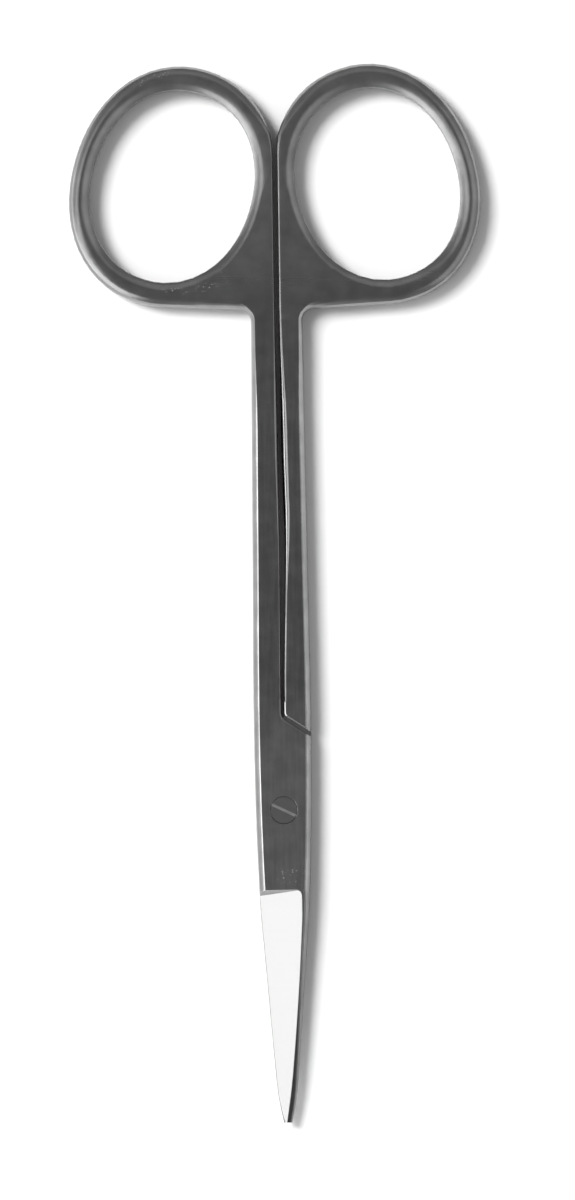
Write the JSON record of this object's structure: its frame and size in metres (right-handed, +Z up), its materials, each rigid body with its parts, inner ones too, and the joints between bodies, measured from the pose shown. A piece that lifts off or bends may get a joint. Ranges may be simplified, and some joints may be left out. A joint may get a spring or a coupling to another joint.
{
  "type": "iris scissors",
  "caption": "Straight iris scissors with oval finger rings, a lap joint with a slotted screw, and slim ground blades.",
  "frame": {"origin": "middle of the closed scissors' length and width, on the plane that their back rests on", "axes": "+Y from the tips to the finger rings along the scissors; +Z up through the pivot, out of the face with the screw's head; +X across, to the right seen from that face with the rings up"},
  "size_m": [0.0448, 0.115, 0.0032],
  "materials": {
    "front_steel": "satin with bright ground blade",
    "rear_steel": "satin with bright ground blade",
    "screw_steel": "fine turned"
  },
  "bodies": {
    "rear": {"rear_half": "rear_steel", "pivot_screw": "screw_steel"},
    "front": {"front_half": "front_steel"}
  },
  "joints": [
    {"name": "pivot", "type": "hinge", "parent": "rear", "child": "front", "pos_m": [0, -0.0235, 0.0016], "axis": [0, 0, 1], "range_deg": [0, 90]}
  ]
}
